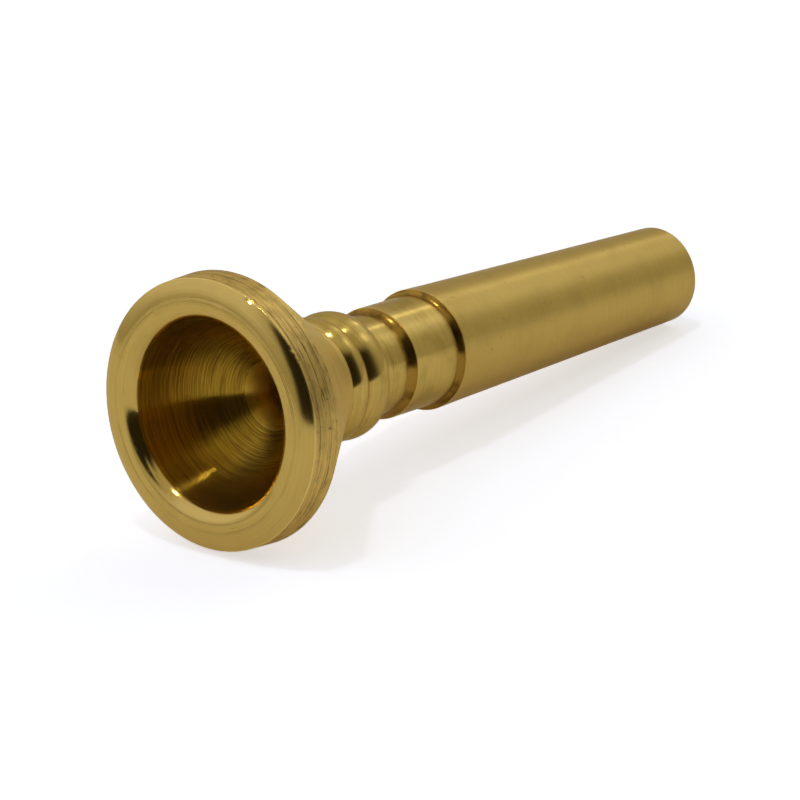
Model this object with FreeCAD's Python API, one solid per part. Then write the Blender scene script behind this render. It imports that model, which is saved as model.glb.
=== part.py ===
"""Brass mouthpiece for a small horn: a turned cup head with a rounded rim, a turned stem with two beads,
and a tapered drawn tube for the shank, telescoped over a collar sleeve and soldered.

Frame: the bore runs along +X, from the player's end to the instrument. The origin is on the bore at the
rim's crest, where the lips seat. +Z is up. Millimetres.
"""
import FreeCAD
import Part

import math
import os

# Cup head: rim, band, cup and cone, turned from one bar.
RIM_CREST_RADIUS = 10.4      # radius of the circle where the rim stands highest
RIM_TOP_ROUND = 4.0          # radius of the rim's rounded top, in section
RIM_EDGE_RADIUS = 12.65      # sharp outer edge of the rim
BAND_BACK_X = 3.70           # back edge of the plain outer band
BAND_BACK_RADIUS = 12.82
CONE_FOOT_X = 13.35          # where the cup's outer cone ends
CONE_FOOT_RADIUS = 6.12
FOOT_GROOVE_RADIUS = 5.85    # fine groove that marks the joint behind the cone

# Cup inside.
CUP_WALL_RADIUS_AT_RIM = 9.08    # the steep wall, carried forward to the rim's crest plane
CUP_WALL_SLOPE = 0.22            # radius lost per millimetre of depth
CUP_FLOOR_X = 6.10               # where the wall turns into the funnel
CUP_FLOOR_SLOPE = 1.35
CUP_FLOOR_ROUND = 9.5            # the wall runs into the funnel in one sweep
BITE_ROUND = 1.5                 # rounding of the rim's inner edge
THROAT_RADIUS = 1.90
THROAT_ROUND = 3.4

# Cup tail: the spigot that carries the throat into the stem.
TAIL_RADIUS = 3.40
TAIL_LENGTH = 7.0
END_BREAK = 0.2                  # small chamfer on hidden ends

# Beaded stem.
NECK_END_X = 14.35
BEAD_SPLIT_X = 16.65
BEAD_END_X = 19.30
BEAD_VALLEY_RADIUS = 5.72        # bottom of the V in front of each bead
BEAD_ONE_CREST = (15.30, 6.14)
BEAD_TWO_CREST = (18.05, 6.18)
BEAD_END_RADIUS = 5.98
STEM_RADIUS = 4.88
STEM_START_X = 20.45             # where the plain stem starts behind the bead
STEM_END_X = 37.8
BACKBORE_EXIT_RADIUS = 4.20

# Collar sleeve: a tube over the stem, its nose inside the shank tube.
SLEEVE_FRONT_X = 24.20
SLEEVE_RADIUS = 5.44
SLEEVE_END_X = 37.8

# Shank tube: tapered, soldered over the sleeve's nose.
SHANK_FRONT_X = 30.90
SHANK_END_X = 71.20
SHANK_FRONT_RADIUS = 5.97
SHANK_FLARE_LENGTH = 3.4         # the first stretch, slightly belled by the soldered joint
SHANK_FLARE_END_RADIUS = 5.87
SHANK_END_RADIUS = 5.06
SHANK_WALL = 0.53
SHANK_EDGE_BREAK = 0.10

# Solder fillets in the two corners: how far each runs forward, and how far it climbs the step.
COLLAR_FILLET_RUN = 1.15
SHANK_FILLET_RUN = 0.60
FILLET_RISE = 0.48

AXIS_POINT = FreeCAD.Vector(0, 0, 0)
AXIS = FreeCAD.Vector(1, 0, 0)


def at(x, radius):
    """A point of a section, in the half plane above the bore."""
    return FreeCAD.Vector(x, 0, radius)


def lines(*points):
    """Straight edges through the points."""
    return [Part.makeLine(at(*a), at(*b)) for a, b in zip(points[:-1], points[1:])]


def arc(start, middle, end):
    """One circular edge through three points."""
    return Part.Arc(at(*start), at(*middle), at(*end)).toShape()


def turned(edges):
    """The solid of revolution of a closed section about the bore."""
    section = Part.Face(Part.Wire(Part.__sortEdges__(edges)))
    solid = section.revolve(AXIS_POINT, AXIS, 360)
    if solid.Volume < 0:
        solid.reverse()
    return solid


def circle_edges(solid, x, radius):
    """The circular edges of a solid at one place along the bore."""
    found = []
    for edge in solid.Edges:
        curve = edge.Curve
        if not isinstance(curve, Part.Circle):
            continue
        if abs(curve.Center.x - x) < 1e-3 and abs(curve.Radius - radius) < 1e-3:
            found.append(edge)
    return found


def rim_top(radius):
    """Height of the rim's rounded top below its crest, at a radius."""
    off_crest = radius - RIM_CREST_RADIUS
    return RIM_TOP_ROUND - math.sqrt(RIM_TOP_ROUND ** 2 - off_crest ** 2)


def bite_corner():
    """Where the cup's wall, carried forward, meets the rim's top."""
    radius = CUP_WALL_RADIUS_AT_RIM
    for _ in range(30):
        radius = CUP_WALL_RADIUS_AT_RIM - CUP_WALL_SLOPE * rim_top(radius)
    return rim_top(radius), radius


def make_cup_head():
    bite = bite_corner()
    rim_edge = (rim_top(RIM_EDGE_RADIUS), RIM_EDGE_RADIUS)
    floor_radius = CUP_WALL_RADIUS_AT_RIM - CUP_WALL_SLOPE * CUP_FLOOR_X
    throat_x = CUP_FLOOR_X + (floor_radius - THROAT_RADIUS) / CUP_FLOOR_SLOPE
    tail_end_x = CONE_FOOT_X + TAIL_LENGTH
    edges = [arc(bite, (0, RIM_CREST_RADIUS), rim_edge)]
    edges += lines(
        rim_edge,
        (BAND_BACK_X, BAND_BACK_RADIUS),
        (CONE_FOOT_X, CONE_FOOT_RADIUS),
        (CONE_FOOT_X, TAIL_RADIUS),
        (tail_end_x - END_BREAK, TAIL_RADIUS),
        (tail_end_x, TAIL_RADIUS - END_BREAK),
        (tail_end_x, THROAT_RADIUS),
        (throat_x, THROAT_RADIUS),
        (CUP_FLOOR_X, floor_radius),
        bite,
    )
    head = turned(edges)
    head = head.makeFillet(BITE_ROUND, circle_edges(head, *bite))
    head = head.makeFillet(CUP_FLOOR_ROUND, circle_edges(head, CUP_FLOOR_X, floor_radius))
    return head.makeFillet(THROAT_ROUND, circle_edges(head, throat_x, THROAT_RADIUS))


def make_beaded_stem():
    tail_end_x = CONE_FOOT_X + TAIL_LENGTH
    valley_one = (NECK_END_X, BEAD_VALLEY_RADIUS)
    valley_two = (BEAD_SPLIT_X, BEAD_VALLEY_RADIUS)
    bead_end = (BEAD_END_X, BEAD_END_RADIUS)
    edges = lines((CONE_FOOT_X, TAIL_RADIUS), (CONE_FOOT_X, FOOT_GROOVE_RADIUS), valley_one)
    edges.append(arc(valley_one, BEAD_ONE_CREST, valley_two))
    edges.append(arc(valley_two, BEAD_TWO_CREST, bead_end))
    edges += lines(
        bead_end,
        (STEM_START_X, STEM_RADIUS),
        (STEM_END_X, STEM_RADIUS),
        (STEM_END_X, BACKBORE_EXIT_RADIUS),
        (tail_end_x, THROAT_RADIUS),
        (tail_end_x, TAIL_RADIUS),
        (CONE_FOOT_X, TAIL_RADIUS),
    )
    return turned(edges)


def shank_bore_radius(x):
    """Inside radius of the shank tube: the sleeve's size at the front, then an even taper."""
    end_radius = SHANK_END_RADIUS - SHANK_WALL
    share = (x - SHANK_FRONT_X) / (SHANK_END_X - SHANK_FRONT_X)
    return SLEEVE_RADIUS + share * (end_radius - SLEEVE_RADIUS)


def make_collar_sleeve():
    return turned(lines(
        (SLEEVE_FRONT_X, STEM_RADIUS),
        (SLEEVE_FRONT_X, SLEEVE_RADIUS),
        (SHANK_FRONT_X, SLEEVE_RADIUS),
        (SLEEVE_END_X, shank_bore_radius(SLEEVE_END_X)),
        (SLEEVE_END_X, STEM_RADIUS),
        (SLEEVE_FRONT_X, STEM_RADIUS),
    ))


def make_shank_tube():
    return turned(lines(
        (SHANK_FRONT_X, SLEEVE_RADIUS),
        (SHANK_FRONT_X, SHANK_FRONT_RADIUS - SHANK_EDGE_BREAK),
        (SHANK_FRONT_X + SHANK_EDGE_BREAK, SHANK_FRONT_RADIUS),
        (SHANK_FRONT_X + SHANK_FLARE_LENGTH, SHANK_FLARE_END_RADIUS),
        (SHANK_END_X - SHANK_EDGE_BREAK, SHANK_END_RADIUS),
        (SHANK_END_X, SHANK_END_RADIUS - SHANK_EDGE_BREAK),
        (SHANK_END_X, shank_bore_radius(SHANK_END_X)),
        (SHANK_FRONT_X, SLEEVE_RADIUS),
    ))


def make_solder_fillet(corner_x, inner_radius, run):
    """A ring of solder drawn into the corner in front of a step."""
    return turned(lines(
        (corner_x, inner_radius),
        (corner_x - run, inner_radius),
        (corner_x, inner_radius + FILLET_RISE),
        (corner_x, inner_radius),
    ))


def make_all():
    return {
        "cup_head": make_cup_head(),
        "beaded_stem": make_beaded_stem(),
        "collar_sleeve": make_collar_sleeve(),
        "shank_tube": make_shank_tube(),
        "collar_solder_fillet": make_solder_fillet(SLEEVE_FRONT_X, STEM_RADIUS, COLLAR_FILLET_RUN),
        "shank_solder_fillet": make_solder_fillet(SHANK_FRONT_X, SLEEVE_RADIUS, SHANK_FILLET_RUN),
    }


os.makedirs("parts", exist_ok=True)
for node, solid in make_all().items():
    solid.exportStep("parts/" + node + ".step")
    print(node, "valid", solid.isValid(), "solids", len(solid.Solids), "volume %.2f" % solid.Volume)
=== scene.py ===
import math
import random

import bpy
from mathutils import Matrix, Vector


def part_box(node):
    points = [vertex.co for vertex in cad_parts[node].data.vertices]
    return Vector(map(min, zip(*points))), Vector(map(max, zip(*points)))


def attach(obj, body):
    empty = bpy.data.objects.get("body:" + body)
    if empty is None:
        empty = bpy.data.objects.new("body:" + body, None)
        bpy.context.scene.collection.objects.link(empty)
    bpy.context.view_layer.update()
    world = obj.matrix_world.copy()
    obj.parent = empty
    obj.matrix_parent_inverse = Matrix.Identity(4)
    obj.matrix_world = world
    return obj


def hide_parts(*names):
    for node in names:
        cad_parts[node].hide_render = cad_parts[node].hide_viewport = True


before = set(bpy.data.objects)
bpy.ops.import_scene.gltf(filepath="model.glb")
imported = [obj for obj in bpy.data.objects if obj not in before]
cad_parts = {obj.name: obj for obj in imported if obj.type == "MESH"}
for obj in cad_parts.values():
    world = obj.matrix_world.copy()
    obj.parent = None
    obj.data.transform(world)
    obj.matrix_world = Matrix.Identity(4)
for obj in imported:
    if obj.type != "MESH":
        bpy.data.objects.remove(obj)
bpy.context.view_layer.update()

# The bore runs along +X from the rim. Sections are drawn in millimetres as (x, radius) and turned about it.
MM = 0.001
TURN_STEPS = 384
ARC_STEP_DEGREES = 6.0
ARC_STEP_LENGTH = 0.3
GENTLE_DEGREES = 8.0
EDGE_SUPPORT = 0.03
LONGEST_RUN = 1.0
LONGEST_HEAD_RUN = 3.0
SHARP_DEGREES = 28

# Cup head
CUP_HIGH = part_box("cup_head")[1]
BAND_BACK_RADIUS = CUP_HIGH.z / MM
TAIL_END_X = CUP_HIGH.x / MM
RIM_CREST_RADIUS = 10.4
RIM_TOP_ROUND = 4.0
RIM_EDGE_RADIUS = 12.65
BAND_BACK_X = 3.70
CONE_FOOT_RADIUS = 6.12
WALL_RADIUS_AT_RIM = 9.08
WALL_SLOPE = 0.22
CUP_FLOOR_X = 6.10
CUP_FLOOR_SLOPE = 1.35
CUP_FLOOR_ROUND = 9.5
BITE_ROUND = 1.5
THROAT_RADIUS = 1.90
THROAT_ROUND = 3.4
TAIL_RADIUS = 3.40
ARRIS_ROUND = 0.12
RIM_SCORES = (10.72, 10.88)
RIM_SCORE_DEPTH = 0.018
RIM_SCORE_WIDTH = 0.035
BAND_BACK_ROUND = 0.12
CONE_FOOT_ROUND = 0.06
BAND_GROOVES = 9
BAND_GROOVES_FROM = 0.07
BAND_GROOVES_SHARE = 0.86
BAND_GROOVE_WIDTHS = (0.04, 0.08)
BAND_GROOVE_DEPTHS = (0.004, 0.012)
CONE_GROOVES = ((0.955, 0.07, 0.02), (0.985, 0.05, 0.02))

# Beaded stem
STEM_LOW, STEM_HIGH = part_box("beaded_stem")
CONE_FOOT_X = STEM_LOW.x / MM
STEM_END_X = STEM_HIGH.x / MM
FOOT_GROOVE_RADIUS = 5.85
NECK_END_X = 14.35
BEAD_SPLIT_X = 16.65
BEAD_END_X = 19.30
BEAD_VALLEY_RADIUS = 5.72
BEAD_ONE_CREST = (15.30, 6.14)
BEAD_TWO_CREST = (18.05, 6.18)
BEAD_END_RADIUS = 5.98
STEM_RADIUS = 4.88
STEM_START_X = 20.45
STEM_START_ROUND = 0.3
STEM_SCORED_FROM_X = 21.0
BACKBORE_EXIT_RADIUS = 4.20
STEM_GROOVES = ((0.018, 0.06, 0.015),)

# Collar sleeve and shank tube
SLEEVE_LOW, SLEEVE_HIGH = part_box("collar_sleeve")
SLEEVE_FRONT_X = SLEEVE_LOW.x / MM
SLEEVE_END_X = SLEEVE_HIGH.x / MM
SLEEVE_RADIUS = SLEEVE_HIGH.z / MM
SHANK_LOW, SHANK_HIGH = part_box("shank_tube")
SHANK_FRONT_X = SHANK_LOW.x / MM
SHANK_END_X = SHANK_HIGH.x / MM
SHANK_FRONT_RADIUS = SHANK_HIGH.z / MM
SHANK_FLARE_LENGTH = 3.4
SHANK_FLARE_END_RADIUS = 5.87
SHANK_END_RADIUS = 5.06
SHANK_WALL = 0.53
SLEEVE_EDGE_ROUND = 0.06
SHANK_FRONT_ROUND = 0.07
SHANK_END_ROUND = 0.12
SHANK_BORE_ROUND = 0.05

# Solder
COLLAR_FILLET_RUN = 1.15
SHANK_FILLET_RUN = 0.60
FILLET_RISE = 0.48
FILLET_HOLLOW = 0.12
FILLET_REACH = 0.84
FILLET_ARC_STEPS = 12
BITE_ARC_STEPS = 20
RIM_ARC_STEPS = 80

# Camera, in degrees and metres, and its lens and sensor in millimetres
CAMERA_AZIMUTH = -51.16
CAMERA_ELEVATION = 15.40
CAMERA_DISTANCE = 0.3155
CAMERA_AIM_X = 0.0007
CAMERA_AIM_RIGHT = 0.01728
CAMERA_AIM_UP = 0.00140
CAMERA_LENS = 157.5
CAMERA_SENSOR = 36.0

# Marks on the rim's outer edge, in millimetres. Each nick is (angle from +Y towards +Z, reach, depth).
NICK_PLACE = (0.70, 12.64)
ARRIS_NICKS = ((142.0, 0.28, 0.05), (145.5, 0.24, 0.03), (96.0, 0.24, 0.03))
WORN_X = 0.66
WORN_ANGLE = 115.2
WORN_FACING = (-0.600, -0.354, 0.717)
WORN_DEPTH = 0.15
WORN_REACH = 0.75

# Turning lines follow x less this many times the radius, so that faces square to the bore have them too.
PROFILE_LEAN = 1.3

# Colours of the metals
CLEAN = (0.80, 0.542, 0.125, 1)
DULL = (0.50, 0.310, 0.070, 1)
EDGE_TINT = (0.97, 0.88, 0.68, 1)
PALE = (0.95, 0.66, 0.165, 1)
CUP_TINT = (0.56, 0.335, 0.030, 1)
THROAT_TINT = (0.70, 0.42, 0.045, 1)
CUP_DULL = (0.30, 0.165, 0.015, 1)
# The cone's brass is lighter than CLEAN. The extra lightness is painted light on the cone and the neck.
CONE_TINT_WITH_LIGHT = (0.93, 0.66, 0.180, 1)
# The colour that the stem's and sleeve's marks darken towards. It is also the painted shade in the corners
# in front of their solder joints.
MARKED_AND_SHADED = (0.36, 0.20, 0.022, 1)
BAND_TINT = (0.97, 0.665, 0.176, 1)
BAND_DULL = (0.38, 0.23, 0.055, 1)
SOLDERED = (0.46, 0.25, 0.034, 1)
BURNT = (0.15, 0.07, 0.012, 1)

# Table top, in metres
FLOOR_COLOUR = (0.8, 0.8, 0.8, 1)
FLOOR_GLOW = 0.50
FLOOR_FILL = 0.11
FLOOR_GAP = 0.00002
FLOOR_RADIUS = 0.462
FLOOR_ALONG = 0.231
FLOOR_ASIDE = -0.100
FLOOR_STEPS = 96

# Studio. Places are in degrees, and the room's brightness runs from its low to its high elevation.
ROOM_LOW = 0.35
ROOM_HIGH = 0.46
ROOM_LOW_ELEVATION = -10.0
ROOM_HIGH_ELEVATION = 60.0
BACKDROP = (1.0, 1.0, 1.0, 1)
LAMP_SOFTNESS = 1.5
DARK = (0.018, 0.016, 0.014, 1)
PANELS = [
    {"azimuth": -145.0, "elevation": 40.0, "half_width": 40.0, "half_height": 34.0, "soft": 24.0,
     "light": (0.65, 0.68, 0.90, 1)},
    {"azimuth": -14.0, "elevation": 10.5, "half_width": 42.0, "half_height": 40.5, "soft": 20.0,
     "light": DARK},
    {"azimuth": -72.0, "elevation": 0.5, "half_width": 23.0, "half_height": 30.5, "soft": 5.0,
     "light": DARK},
    {"azimuth": 85.0, "elevation": 42.0, "half_width": 28.0, "half_height": 12.0, "soft": 14.0,
     "light": (0.70, 0.75, 0.95, 1)},
    {"azimuth": 60.0, "elevation": 52.0, "half_width": 12.0, "half_height": 6.0, "soft": 4.0,
     "light": (1.3, 1.35, 1.6, 1)},
]
LAMPS = [
    {"azimuth": -90.0, "elevation": 74.0, "radius": 2.4, "light": (36.0, 37.0, 42.0, 1)},
    {"azimuth": 104.0, "elevation": 38.0, "radius": 2.5, "light": (2.2, 2.3, 2.6, 1)},
]


def circle_through(a, b, c):
    """Centre and radius of the circle through three section points."""
    ax, ay = a
    bx, by = b
    cx, cy = c
    d = 2 * (ax * (by - cy) + bx * (cy - ay) + cx * (ay - by))
    sa, sb, sc = ax * ax + ay * ay, bx * bx + by * by, cx * cx + cy * cy
    centre = ((sa * (by - cy) + sb * (cy - ay) + sc * (ay - by)) / d,
              (sa * (cx - bx) + sb * (ax - cx) + sc * (bx - ax)) / d)
    return centre, math.dist(centre, a)


def arc(start, middle, end, count=48):
    """Points along the circular arc from start through middle to end."""
    centre, radius = circle_through(start, middle, end)
    angles = [math.atan2(p[1] - centre[1], p[0] - centre[0]) for p in (start, middle, end)]
    to_middle = (angles[1] - angles[0]) % math.tau
    to_end = (angles[2] - angles[0]) % math.tau
    if to_middle > to_end:
        to_end -= math.tau
    return [(centre[0] + radius * math.cos(angles[0] + to_end * i / count),
             centre[1] + radius * math.sin(angles[0] + to_end * i / count)) for i in range(count + 1)]


def rounded(corner_before, corner, corner_after, radius):
    """Points of the arc that rounds one corner of a section."""
    here = Vector(corner)
    back = (Vector(corner_before) - here).normalized()
    ahead = (Vector(corner_after) - here).normalized()
    half = math.acos(max(-1.0, min(1.0, back.dot(ahead)))) / 2
    reach = radius / math.tan(half)
    centre = here + (back + ahead).normalized() * (radius / math.sin(half))
    middle = centre + (here - centre).normalized() * radius
    start, end = here + back * reach, here + ahead * reach
    turn = math.pi - 2 * half
    count = max(4, round(math.degrees(turn) / ARC_STEP_DEGREES), round(radius * turn / ARC_STEP_LENGTH))
    return arc(tuple(start), tuple(middle), tuple(end), count)


def section(*parts):
    """A closed section from corners (x, radius, rounding) and ready-made lists of points."""
    flat = []
    for part in parts:
        if isinstance(part, list):
            flat += [(x, r, 0.0) for x, r in part]
        else:
            flat.append(part)
    points = []
    for i, (x, r, rounding) in enumerate(flat):
        if rounding:
            before, after = flat[i - 1][:2], flat[(i + 1) % len(flat)][:2]
            points += rounded(before, (x, r), after, rounding)
        else:
            points.append((x, r))
    return points


def gentle(points, i):
    """Whether the section hardly turns at a point, as it does all along an arc."""
    before, here, after = (Vector(points[k % len(points)]) for k in (i - 1, i, i + 1))
    return math.degrees((here - before).angle(after - here)) < GENTLE_DEGREES


def supported(points, longest):
    """The section with points added beside its corners and along its long runs, to keep the shading even."""
    result = []
    for i, here in enumerate(points):
        ahead = points[(i + 1) % len(points)]
        run = math.dist(here, ahead)
        result.append(here)
        in_arc = run < 1.5 * ARC_STEP_LENGTH and gentle(points, i) and gentle(points, i + 1)
        if run < 3 * EDGE_SUPPORT or in_arc:
            continue
        inner = run - 2 * EDGE_SUPPORT
        count = max(1, math.ceil(inner / longest))
        for k in range(count + 1):
            share = (EDGE_SUPPORT + inner * k / count) / run
            x = here[0] + (ahead[0] - here[0]) * share
            radius = here[1] + (ahead[1] - here[1]) * share
            result.append((x, radius))
    return result


def swept(name, sections):
    """The mesh object made of equal closed sections, one for each step of the turn about the bore."""
    count = len(sections[0])
    steps = len(sections)
    verts = []
    for step, points in enumerate(sections):
        angle = math.tau * step / steps
        cosine, sine = math.cos(angle), math.sin(angle)
        verts += [(x * MM, r * cosine * MM, r * sine * MM) for x, r in points]
    faces = []
    for step in range(steps):
        here = step * count
        ahead = (step + 1) % steps * count
        for i in range(count):
            j = (i + 1) % count
            faces.append((here + i, here + j, ahead + j, ahead + i))
    mesh = bpy.data.meshes.new(name)
    mesh.from_pydata(verts, [], faces)
    mesh.validate()
    mesh.shade_smooth()
    mesh.set_sharp_from_angle(angle=math.radians(SHARP_DEGREES))
    piece = bpy.data.objects.new(name, mesh)
    bpy.context.scene.collection.objects.link(piece)
    return piece


def turned(name, points, longest=LONGEST_RUN):
    """The mesh object made by turning one closed section about the bore."""
    return swept(name, [supported(points, longest)] * TURN_STEPS)


def scored(start, end, grooves):
    """A straight run with V grooves in it, each given as (share of the run, width, depth)."""
    start, end = Vector(start), Vector(end)
    along = (end - start).normalized()
    inward = Vector((along.y, -along.x))
    points = [tuple(start)]
    for share, width, depth in sorted(grooves):
        middle = start.lerp(end, share)
        points.append(tuple(middle - along * width / 2))
        points.append(tuple(middle + inward * depth))
        points.append(tuple(middle + along * width / 2))
    return points + [tuple(end)]


def nick(piece, place, reach, depth):
    """Presses the surface in towards the bore, most of all at one place, given in millimetres."""
    for vertex in piece.data.vertices:
        distance = (vertex.co / MM - Vector(place)).length / reach
        if distance < 1:
            push = depth * (1 - distance * distance) ** 2 * MM
            outward = Vector((0, vertex.co.y, vertex.co.z)).normalized()
            vertex.co -= outward * push


def wear_flat(piece, place, facing, depth, reach):
    """Cuts a small flat into the surface round a place. The flat faces one way and lies that depth below the
    place. It is full within half the reach and fades out at the reach. All are in millimetres."""
    facing = Vector(facing).normalized()
    plane = Vector(place) - facing * depth
    for vertex in piece.data.vertices:
        distance = (vertex.co / MM - Vector(place)).length / reach
        proud = (vertex.co / MM - plane).dot(facing)
        if distance < 1 and proud > 0:
            vertex.co -= facing * proud * MM * min(1.0, 2.0 - 2.0 * distance)


def on_surface(x, radius, angle):
    """The place at that angle from +Y towards +Z."""
    turn = math.radians(angle)
    return (x, radius * math.cos(turn), radius * math.sin(turn))


def rim_arc():
    """The points from the cup wall over the bite's rounding, the scored top of the rim and its edge."""
    wall = Vector((1.0, -WALL_SLOPE)).normalized()
    inward = Vector((WALL_SLOPE, 1.0)).normalized()
    crest_centre = Vector((RIM_TOP_ROUND, RIM_CREST_RADIUS))
    start = Vector((0.0, WALL_RADIUS_AT_RIM)) + inward * BITE_ROUND
    offset = start - crest_centre
    reach = RIM_TOP_ROUND - BITE_ROUND
    half_b = offset.dot(wall)
    along = -half_b - math.sqrt(half_b ** 2 - offset.length_squared + reach ** 2)
    bite_centre = start + wall * along
    on_wall = bite_centre - inward * BITE_ROUND
    outward = (bite_centre - crest_centre).normalized()
    on_top = crest_centre + outward * RIM_TOP_ROUND
    middle = bite_centre + (outward - inward).normalized() * BITE_ROUND
    edge_rise = math.sqrt(RIM_TOP_ROUND ** 2 - (RIM_EDGE_RADIUS - RIM_CREST_RADIUS) ** 2)
    edge = (RIM_TOP_ROUND - edge_rise, RIM_EDGE_RADIUS)
    bite = arc(tuple(on_wall), tuple(middle), tuple(on_top), BITE_ARC_STEPS)
    top = arc(tuple(on_top), (0.0, RIM_CREST_RADIUS), edge, RIM_ARC_STEPS)
    scratched = []
    for x, r in top[:-3]:
        for place in RIM_SCORES:
            x += RIM_SCORE_DEPTH * math.exp(-((r - place) / RIM_SCORE_WIDTH) ** 2)
        scratched.append((x, r))
    return bite[:-1] + scratched + rounded(top[-4], edge, (BAND_BACK_X, BAND_BACK_RADIUS), ARRIS_ROUND)


def make_cup_head():
    floor_radius = WALL_RADIUS_AT_RIM - WALL_SLOPE * CUP_FLOOR_X
    throat_x = CUP_FLOOR_X + (floor_radius - THROAT_RADIUS) / CUP_FLOOR_SLOPE
    rim = rim_arc()
    chance = random.Random(5)
    grooves = []
    for i in range(BAND_GROOVES):
        share = BAND_GROOVES_FROM + BAND_GROOVES_SHARE * (i + chance.uniform(0.1, 0.9)) / BAND_GROOVES
        width = chance.uniform(*BAND_GROOVE_WIDTHS)
        depth = chance.uniform(*BAND_GROOVE_DEPTHS)
        grooves.append((share, width, depth))
    band_end = (BAND_BACK_X, BAND_BACK_RADIUS)
    foot = (CONE_FOOT_X, CONE_FOOT_RADIUS)
    band = scored(rim[-1], band_end, grooves)
    cone = scored(band_end, foot, CONE_GROOVES)
    head = turned("cup_head_turning", section(
        rim[:-1],
        band[:-1],
        rounded(band[-2], band_end, cone[1], BAND_BACK_ROUND),
        cone[1:-1],
        (CONE_FOOT_X, CONE_FOOT_RADIUS, CONE_FOOT_ROUND),
        (CONE_FOOT_X, TAIL_RADIUS, 0.0),
        (TAIL_END_X, TAIL_RADIUS, 0.0),
        (TAIL_END_X, THROAT_RADIUS, 0.0),
        (throat_x, THROAT_RADIUS, THROAT_ROUND),
        (CUP_FLOOR_X, floor_radius, CUP_FLOOR_ROUND),
    ), LONGEST_HEAD_RUN)
    for angle, reach, depth in ARRIS_NICKS:
        nick(head, on_surface(*NICK_PLACE, angle), reach, depth)
    worn_place = on_surface(WORN_X, RIM_EDGE_RADIUS, WORN_ANGLE)
    wear_flat(head, worn_place, WORN_FACING, WORN_DEPTH, WORN_REACH)
    return head


def make_beaded_stem():
    valley_one = (NECK_END_X, BEAD_VALLEY_RADIUS)
    valley_two = (BEAD_SPLIT_X, BEAD_VALLEY_RADIUS)
    bead_end = (BEAD_END_X, BEAD_END_RADIUS)
    return turned("beaded_stem_turning", section(
        (CONE_FOOT_X, TAIL_RADIUS, 0.0),
        (CONE_FOOT_X, FOOT_GROOVE_RADIUS, 0.0),
        arc(valley_one, BEAD_ONE_CREST, valley_two)[:-1],
        arc(valley_two, BEAD_TWO_CREST, bead_end),
        (STEM_START_X, STEM_RADIUS, STEM_START_ROUND),
        scored((STEM_SCORED_FROM_X, STEM_RADIUS), (STEM_END_X, STEM_RADIUS), STEM_GROOVES),
        (STEM_END_X, BACKBORE_EXIT_RADIUS, 0.0),
        (TAIL_END_X, THROAT_RADIUS, 0.0),
        (TAIL_END_X, TAIL_RADIUS, 0.0),
    ))


def shank_bore_radius(x):
    end_radius = SHANK_END_RADIUS - SHANK_WALL
    share = (x - SHANK_FRONT_X) / (SHANK_END_X - SHANK_FRONT_X)
    return SLEEVE_RADIUS + share * (end_radius - SLEEVE_RADIUS)


def make_collar_sleeve():
    return turned("collar_sleeve_tube", section(
        (SLEEVE_FRONT_X, STEM_RADIUS, 0.0),
        (SLEEVE_FRONT_X, SLEEVE_RADIUS, SLEEVE_EDGE_ROUND),
        (SHANK_FRONT_X, SLEEVE_RADIUS, 0.0),
        (SLEEVE_END_X, shank_bore_radius(SLEEVE_END_X), 0.0),
        (SLEEVE_END_X, STEM_RADIUS, 0.0),
    ))


def make_shank_tube():
    return turned("shank_tube_drawn", section(
        (SHANK_FRONT_X, SLEEVE_RADIUS, 0.0),
        (SHANK_FRONT_X, SHANK_FRONT_RADIUS, SHANK_FRONT_ROUND),
        (SHANK_FRONT_X + SHANK_FLARE_LENGTH, SHANK_FLARE_END_RADIUS, 0.0),
        (SHANK_END_X, SHANK_END_RADIUS, SHANK_END_ROUND),
        (SHANK_END_X, shank_bore_radius(SHANK_END_X), SHANK_BORE_ROUND),
    ))


def make_solder_fillet(name, corner_x, inner_radius, run):
    """The solder drawn into the corner in front of a tube's edge. Its face is hollow and its foot wanders a
    little along the bore. inner_radius is that of the surface it lies on."""
    sections = []
    for step in range(TURN_STEPS):
        turn = math.tau * step / TURN_STEPS
        slow = 0.09 * math.sin(3 * turn + corner_x)
        quick = 0.06 * math.sin(8 * turn)
        fine = 0.04 * math.sin(19 * turn)
        reach = run * (1 + slow + quick + fine) * FILLET_REACH
        foot = (corner_x - reach, inner_radius)
        crown = (corner_x, inner_radius + FILLET_RISE)
        share = 0.5 - FILLET_HOLLOW
        hollow = (corner_x - reach * share, inner_radius + FILLET_RISE * share)
        sections.append(arc(foot, hollow, crown, FILLET_ARC_STEPS) + [(corner_x, inner_radius)])
    return swept(name, sections)


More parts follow.
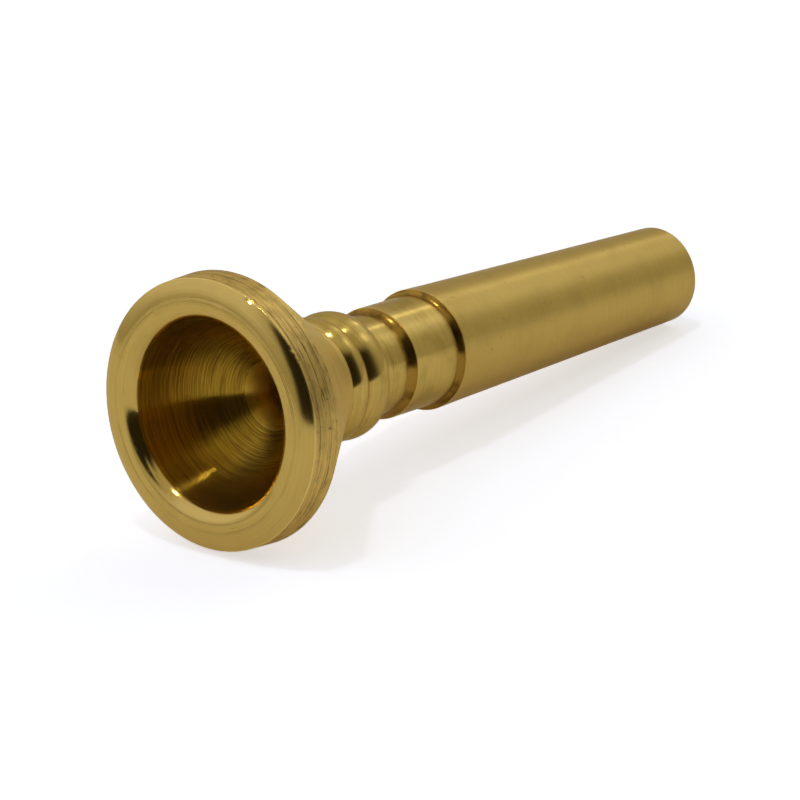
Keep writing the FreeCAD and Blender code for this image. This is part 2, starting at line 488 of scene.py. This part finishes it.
class Graph:
    """Short calls for the nodes that the materials and the studio use."""

    def __init__(self, tree):
        self.tree = tree

    def node(self, kind, **settings):
        made = self.tree.nodes.new(kind)
        for key, value in settings.items():
            setattr(made, key, value)
        return made

    def feed(self, socket, value):
        if isinstance(value, bpy.types.NodeSocket):
            self.tree.links.new(value, socket)
        else:
            socket.default_value = value

    def math(self, operation, *values):
        made = self.node("ShaderNodeMath", operation=operation)
        for socket, value in zip(made.inputs, values):
            self.feed(socket, value)
        return made.outputs[0]

    def ramp(self, value, low, high, low_out=0.0, high_out=1.0):
        """Turns low to high into low_out to high_out, smoothly, and holds it level outside."""
        made = self.node("ShaderNodeMapRange", interpolation_type="SMOOTHSTEP")
        settings = {"Value": value, "From Min": low, "From Max": high, "To Min": low_out, "To Max": high_out}
        for name, setting in settings.items():
            self.feed(made.inputs[name], setting)
        return made.outputs[0]

    def mix(self, share, first, second):
        made = self.node("ShaderNodeMix", data_type="RGBA")
        self.feed(made.inputs["Factor"], share)
        self.feed(made.inputs[6], first)
        self.feed(made.inputs[7], second)
        return made.outputs[2]

    def noise(self, place, scale, detail=2.0):
        made = self.node("ShaderNodeTexNoise")
        self.feed(made.inputs["Vector"], place)
        self.feed(made.inputs["Scale"], scale)
        self.feed(made.inputs["Detail"], detail)
        return made.outputs["Fac"]

    def bump(self, height, depth, before=None):
        """A bump of that depth in millimetres, on top of the one before it."""
        made = self.node("ShaderNodeBump")
        self.feed(made.inputs["Height"], height)
        self.feed(made.inputs["Distance"], depth * MM)
        if before is not None:
            self.feed(made.inputs["Normal"], before)
        return made.outputs["Normal"]


def ring_noise(graph, across, around, detail):
    """Noise drawn out into rings: so many cells to a millimetre across, and so many to a radian around."""
    place = graph.node("ShaderNodeSeparateXYZ")
    graph.feed(place.inputs[0], graph.node("ShaderNodeTexCoord").outputs["Object"])
    x, y, z = place.outputs
    squares = graph.math("ADD", graph.math("MULTIPLY", y, y), graph.math("MULTIPLY", z, z))
    radius = graph.math("SQRT", squares)
    profile = graph.math("SUBTRACT", x, graph.math("MULTIPLY", radius, PROFILE_LEAN))
    rings = graph.node("ShaderNodeCombineXYZ")
    graph.feed(rings.inputs[0], graph.math("MULTIPLY", profile, across / MM))
    graph.feed(rings.inputs[1], graph.math("MULTIPLY", graph.math("DIVIDE", y, radius), around))
    graph.feed(rings.inputs[2], graph.math("MULTIPLY", graph.math("DIVIDE", z, radius), around))
    return graph.noise(rings.outputs[0], 1.0, detail)


class Brass:
    """A metal that marks are added to one after another. Each mark darkens the metal, dents it or does both.
    lean is the shader's anisotropy, which draws reflections out across the turning lines."""

    def __init__(self, name, tint, dark_tint, roughness, lean):
        self.material = bpy.data.materials.new(name)
        self.material.use_nodes = True
        self.graph = Graph(self.material.node_tree)
        self.shader = self.material.node_tree.nodes["Principled BSDF"]
        self.tint = tint
        self.dark_tint = dark_tint
        self.place = self.graph.node("ShaderNodeTexCoord").outputs["Object"]
        self.cloud = self.graph.noise(self.place, 0.30 / MM, 3.0)
        self.darkening = self.graph.math("MULTIPLY", self.graph.ramp(self.cloud, 0.40, 0.80), 0.18)
        self.normal = None
        gloss = self.graph.ramp(self.cloud, 0.30, 0.75, roughness * 0.95, roughness * 1.06)
        self.graph.feed(self.shader.inputs["Roughness"], gloss)
        self.shader.inputs["Metallic"].default_value = 1.0
        self.shader.inputs["Specular Tint"].default_value = EDGE_TINT
        self.shader.inputs["Anisotropic"].default_value = lean
        self.shader.inputs["Anisotropic Rotation"].default_value = 0.25
        tangent = self.graph.node("ShaderNodeTangent", direction_type="RADIAL", axis="X")
        self.graph.feed(self.shader.inputs["Tangent"], tangent.outputs[0])

    def mark(self, share, depth, strength):
        """Darkens and sinks the metal where share is high. depth is in millimetres."""
        if strength:
            added = self.graph.math("MULTIPLY", share, strength)
            self.darkening = self.graph.math("ADD", self.darkening, added)
        if depth:
            height = self.graph.math("SUBTRACT", 1.0, share)
            self.normal = self.graph.bump(height, depth, self.normal)

    def lines(self, pitch, depth, strength, around=1.2):
        """Turning lines that far apart, in millimetres."""
        noise = ring_noise(self.graph, 1 / pitch, around, 3.0)
        self.mark(self.graph.ramp(noise, 0.38, 0.66), depth, strength)

    def streaks(self, across, around, amount, depth, strength):
        """Broken scores that run round the piece. amount is how much of the surface they take."""
        noise = ring_noise(self.graph, across, around, 4.0)
        self.mark(self.graph.ramp(noise, 0.66 - amount, 0.74 - amount), depth, strength)

    def grain(self, size, depth, strength=0.0):
        """An even grain of that size in millimetres."""
        self.mark(self.graph.noise(self.place, 1 / (size * MM), 3.0), depth, strength)

    def pits(self, spacing, depth, strength):
        """Small round pits, about that far apart in millimetres."""
        noise = self.graph.noise(self.place, 1 / (spacing * MM), 3.0)
        self.mark(self.graph.ramp(noise, 0.66, 0.74), depth, strength)

    def blotches(self, spacing, strength):
        """Soft darker patches, about that far apart in millimetres."""
        noise = self.graph.noise(self.place, 1 / (spacing * MM), 2.0)
        self.mark(self.graph.ramp(noise, 0.45, 0.70), 0.0, strength)

    def ring(self, radius, width, depth, strength):
        """A scored ring at that radius, deeper in some places than in others, in millimetres."""
        place = self.graph.node("ShaderNodeSeparateXYZ")
        self.graph.feed(place.inputs[0], self.place)
        across = self.graph.math("MULTIPLY", place.outputs[1], place.outputs[1])
        upward = self.graph.math("MULTIPLY", place.outputs[2], place.outputs[2])
        here = self.graph.math("SQRT", self.graph.math("ADD", across, upward))
        off = self.graph.math("ABSOLUTE", self.graph.math("SUBTRACT", here, radius * MM))
        line = self.graph.ramp(off, 0.0, width * MM, 1.0, 0.0)
        broken = self.graph.ramp(ring_noise(self.graph, 2.0, 3.0, 2.0), 0.35, 0.60)
        self.mark(self.graph.math("MULTIPLY", line, broken), depth, strength)

    def painted_shade(self, clear_x, shaded_x, strength):
        """Painted shade that deepens from one place along the bore to another, in millimetres: the shade in
        the corner in front of a solder joint.
        """
        along = self.graph.node("ShaderNodeSeparateXYZ")
        self.graph.feed(along.inputs[0], self.place)
        self.mark(self.graph.ramp(along.outputs[0], clear_x * MM, shaded_x * MM), 0.0, strength)

    def done(self):
        share = self.graph.math("MINIMUM", self.darkening, 1.0)
        self.graph.feed(self.shader.inputs["Base Color"], self.graph.mix(share, self.tint, self.dark_tint))
        self.graph.feed(self.shader.inputs["Normal"], self.normal)
        return self.material


def make_rim_brass():
    brass = Brass("rim_brass", CLEAN, DULL, roughness=0.14, lean=0.6)
    brass.lines(pitch=0.10, depth=0.0012, strength=0.12)
    brass.lines(pitch=0.30, depth=0.0010, strength=0.08)
    brass.streaks(across=7.0, around=5.0, amount=0.02, depth=0.004, strength=0.35)
    for radius in RIM_SCORES:
        brass.ring(radius, width=0.07, depth=0.0, strength=0.55)
    return brass.done()


def make_funnel_brass():
    brass = Brass("funnel_brass", CUP_TINT, CUP_DULL, roughness=0.22, lean=1.0)
    brass.lines(pitch=0.34, depth=0.0060, strength=0.30)
    brass.lines(pitch=0.15, depth=0.0055, strength=0.75)
    brass.streaks(across=6.0, around=1.5, amount=0.06, depth=0.005, strength=0.6)
    return brass.done()


def make_throat_brass():
    brass = Brass("throat_brass", THROAT_TINT, CUP_DULL, roughness=0.32, lean=0.9)
    brass.lines(pitch=0.20, depth=0.0030, strength=0.20)
    return brass.done()


def make_band_brass():
    brass = Brass("band_brass", BAND_TINT, BAND_DULL, roughness=0.44, lean=0.5)
    brass.lines(pitch=0.22, depth=0.0030, strength=0.30, around=0.7)
    brass.streaks(across=5.0, around=1.0, amount=0.10, depth=0.008, strength=0.75)
    brass.streaks(across=7.0, around=8.0, amount=0.08, depth=0.010, strength=0.65)
    brass.pits(spacing=0.45, depth=0.015, strength=0.7)
    brass.blotches(spacing=1.3, strength=0.20)
    brass.grain(size=0.14, depth=0.0020, strength=0.15)
    return brass.done()


def make_worn_brass():
    brass = Brass("worn_brass", PALE, CLEAN, roughness=0.24, lean=0.2)
    brass.lines(pitch=0.10, depth=0.0010, strength=0.10)
    brass.grain(size=0.15, depth=0.003)
    return brass.done()


def make_cone_brass():
    # A lighter tint than the rest of the brass: painted light.
    brass = Brass("cone_brass", CONE_TINT_WITH_LIGHT, DULL, roughness=0.46, lean=0.5)
    brass.lines(pitch=0.14, depth=0.0020, strength=0.22)
    brass.grain(size=0.12, depth=0.0010, strength=0.10)
    return brass.done()


def make_stem_brass():
    brass = Brass("stem_brass", CLEAN, MARKED_AND_SHADED, roughness=0.20, lean=0.92)
    brass.lines(pitch=0.12, depth=0.0010, strength=0.22)
    brass.blotches(spacing=1.5, strength=0.2)
    # Painted shade on the stem, deepening towards the corner at the collar's solder joint.
    brass.painted_shade(clear_x=22.4, shaded_x=24.1, strength=0.8)
    return brass.done()


def make_sleeve_brass():
    brass = Brass("sleeve_brass", CLEAN, MARKED_AND_SHADED, roughness=0.20, lean=0.92)
    brass.lines(pitch=0.14, depth=0.0010, strength=0.18)
    brass.blotches(spacing=2.0, strength=0.20)
    # Painted shade on the sleeve, deepening towards the corner at the shank's solder joint.
    brass.painted_shade(clear_x=29.7, shaded_x=30.5, strength=0.6)
    brass.grain(size=0.11, depth=0.0006)
    return brass.done()


def make_shank_brass():
    brass = Brass("shank_brass", CLEAN, DULL, roughness=0.34, lean=0.3)
    brass.lines(pitch=0.20, depth=0.0008, strength=0.10)
    brass.grain(size=0.11, depth=0.0045, strength=0.35)
    brass.pits(spacing=0.60, depth=0.004, strength=0.4)
    return brass.done()


def make_solder():
    brass = Brass("solder", SOLDERED, BURNT, roughness=0.25, lean=0.2)
    brass.grain(size=0.25, depth=0.006)
    brass.blotches(spacing=1.5, strength=0.75)
    brass.pits(spacing=0.50, depth=0.010, strength=0.4)
    return brass.done()


def paint(piece, material, zone=None):
    """Gives a material to all the faces of a piece, or to those in a zone. A zone is told each face's place
    along the bore and its distance from the bore's axis, in millimetres."""
    piece.data.materials.append(material)
    index = len(piece.data.materials) - 1
    for face in piece.data.polygons:
        x, y, z = face.center / MM
        if zone is None or zone(x, math.hypot(y, z)):
            face.material_index = index


def on_band(x, radius):
    return 0.70 < x < BAND_BACK_X and radius > 12.4


def on_worn_edge(x, radius):
    return 0.60 < x < 0.80 and radius > 12.56


def in_cup(x, radius):
    return x > 0.9 and radius < 9.3


def in_throat(x, radius):
    return x > 2.0 and radius < 3.2


def on_cone(x, radius):
    return x >= BAND_BACK_X and radius > BAND_BACK_RADIUS - 0.3 - 0.75 * (x - BAND_BACK_X)


def on_neck(x, radius):
    return x < NECK_END_X - 0.15 and radius > 5.0


def make_floor():
    """A round pale table top under the places that rest on it, the band's back edge and the shank's end."""
    tilt = math.atan2(BAND_BACK_RADIUS - SHANK_END_RADIUS, SHANK_END_X - BAND_BACK_X)
    along = Vector((math.cos(tilt), 0, math.sin(tilt)))
    across = Vector((0, 1, 0))
    touch = Vector((BAND_BACK_X * MM, 0, -BAND_BACK_RADIUS * MM)) - along.cross(across) * FLOOR_GAP
    middle = touch + across * FLOOR_ASIDE + along * FLOOR_ALONG
    edge = []
    for step in range(FLOOR_STEPS):
        angle = math.tau * step / FLOOR_STEPS
        edge.append(middle + (along * math.cos(angle) + across * math.sin(angle)) * FLOOR_RADIUS)
    mesh = bpy.data.meshes.new("floor")
    mesh.from_pydata(edge, [], [tuple(range(FLOOR_STEPS))])
    floor = bpy.data.objects.new("floor", mesh)
    bpy.context.scene.collection.objects.link(floor)

    material = bpy.data.materials.new("floor_paper")
    material.use_nodes = True
    graph = Graph(material.node_tree)
    material.node_tree.nodes.remove(material.node_tree.nodes["Principled BSDF"])
    paper = graph.node("ShaderNodeBsdfDiffuse")
    graph.feed(paper.inputs["Color"], FLOOR_COLOUR)
    glow = graph.node("ShaderNodeEmission")
    camera_ray = graph.node("ShaderNodeLightPath").outputs["Is Camera Ray"]
    graph.feed(glow.inputs["Strength"], graph.math("MULTIPLY_ADD", camera_ray, FLOOR_GLOW, FLOOR_FILL))
    both = graph.node("ShaderNodeAddShader")
    graph.feed(both.inputs[0], paper.outputs[0])
    graph.feed(both.inputs[1], glow.outputs[0])
    graph.feed(material.node_tree.nodes["Material Output"].inputs["Surface"], both.outputs[0])
    mesh.materials.append(material)


def away(azimuth, elevation):
    """The direction from the object towards something at that azimuth, from -Y towards +X, and elevation."""
    azimuth, elevation = math.radians(azimuth), math.radians(elevation)
    return Vector((math.sin(azimuth) * math.cos(elevation), -math.cos(azimuth) * math.cos(elevation),
                   math.sin(elevation)))


def make_studio():
    """The light round the object: a pale room with soft-edged panels and small lamps in it."""
    world = bpy.data.worlds.new("studio")
    world.use_nodes = True
    graph = Graph(world.node_tree)
    direction = graph.node("ShaderNodeSeparateXYZ")
    graph.feed(direction.inputs[0], graph.node("ShaderNodeTexCoord").outputs["Generated"])
    x, y, z = direction.outputs
    azimuth = graph.math("DEGREES", graph.math("ARCTAN2", x, graph.math("MULTIPLY", y, -1.0)))
    elevation = graph.math("DEGREES", graph.math("ARCSINE", z))
    room = graph.node("ShaderNodeCombineColor")
    for socket in room.inputs[:3]:
        level = graph.ramp(elevation, ROOM_LOW_ELEVATION, ROOM_HIGH_ELEVATION, ROOM_LOW, ROOM_HIGH)
        graph.feed(socket, level)
    light = room.outputs[0]
    for panel in PANELS:
        turn = graph.math("WRAP", graph.math("SUBTRACT", azimuth, panel["azimuth"]), 180.0, -180.0)
        aside = graph.math("ABSOLUTE", turn)
        above = graph.math("ABSOLUTE", graph.math("SUBTRACT", elevation, panel["elevation"]))
        soft = panel["soft"] / 2
        across = graph.ramp(aside, panel["half_width"] - soft, panel["half_width"] + soft, 1.0, 0.0)
        upward = graph.ramp(above, panel["half_height"] - soft, panel["half_height"] + soft, 1.0, 0.0)
        light = graph.mix(graph.math("MULTIPLY", across, upward), light, panel["light"])
    for lamp in LAMPS:
        towards = graph.node("ShaderNodeVectorMath", operation="DOT_PRODUCT")
        graph.feed(towards.inputs[0], graph.node("ShaderNodeTexCoord").outputs["Generated"])
        graph.feed(towards.inputs[1], away(lamp["azimuth"], lamp["elevation"]))
        inner = math.cos(math.radians(lamp["radius"]))
        outer = math.cos(math.radians(lamp["radius"] * LAMP_SOFTNESS))
        light = graph.mix(graph.ramp(towards.outputs["Value"], outer, inner), light, lamp["light"])
    camera_ray = graph.node("ShaderNodeLightPath").outputs["Is Camera Ray"]
    graph.feed(world.node_tree.nodes["Background"].inputs["Color"], graph.mix(camera_ray, light, BACKDROP))
    bpy.context.scene.world = world


def make_camera():
    azimuth = math.radians(CAMERA_AZIMUTH)
    back = away(CAMERA_AZIMUTH, CAMERA_ELEVATION)
    right = Vector((math.cos(azimuth), math.sin(azimuth), 0))
    up = back.cross(right)
    rim_centre = Vector((CAMERA_AIM_X, 0, 0))
    place = rim_centre + right * CAMERA_AIM_RIGHT + up * CAMERA_AIM_UP + back * CAMERA_DISTANCE
    data = bpy.data.cameras.new("camera")
    data.lens = CAMERA_LENS
    data.sensor_width = CAMERA_SENSOR
    data.clip_start = 0.01
    camera = bpy.data.objects.new("camera", data)
    camera.matrix_world = Matrix.Translation(place) @ Matrix((right, up, back)).transposed().to_4x4()
    bpy.context.scene.collection.objects.link(camera)
    bpy.context.scene.camera = camera


rim_brass = make_rim_brass()
funnel_brass = make_funnel_brass()
throat_brass = make_throat_brass()
band_brass = make_band_brass()
worn_brass = make_worn_brass()
cone_brass = make_cone_brass()
stem_brass = make_stem_brass()
sleeve_brass = make_sleeve_brass()
shank_brass = make_shank_brass()
solder = make_solder()

head = make_cup_head()
stem = make_beaded_stem()
sleeve = make_collar_sleeve()
shank = make_shank_tube()
collar_solder = make_solder_fillet("collar_solder_ring", SLEEVE_FRONT_X, STEM_RADIUS, COLLAR_FILLET_RUN)
shank_solder = make_solder_fillet("shank_solder_ring", SHANK_FRONT_X, SLEEVE_RADIUS, SHANK_FILLET_RUN)

# A later coat covers an earlier one where their zones meet.
paint(head, rim_brass)
paint(head, band_brass, on_band)
paint(head, worn_brass, on_worn_edge)
paint(head, funnel_brass, in_cup)
paint(head, throat_brass, in_throat)
paint(head, cone_brass, on_cone)
paint(stem, stem_brass)
# The neck takes the cone's rougher brass, whose lighter tint is painted light there.
paint(stem, cone_brass, on_neck)
paint(sleeve, sleeve_brass)
paint(shank, shank_brass)
paint(collar_solder, solder)
paint(shank_solder, solder)

pieces = {
    "cup_head": (head, "cup_brass"),
    "beaded_stem": (stem, "stem_brass"),
    "collar_sleeve": (sleeve, "sleeve_brass"),
    "shank_tube": (shank, "shank_brass"),
    "collar_solder_fillet": (collar_solder, "solder"),
    "shank_solder_fillet": (shank_solder, "solder"),
}
for node, (piece, slot) in pieces.items():
    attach(piece, "root")
    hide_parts(node)
make_camera()
make_studio()
make_floor()
bpy.context.scene.view_settings.view_transform = "Standard"
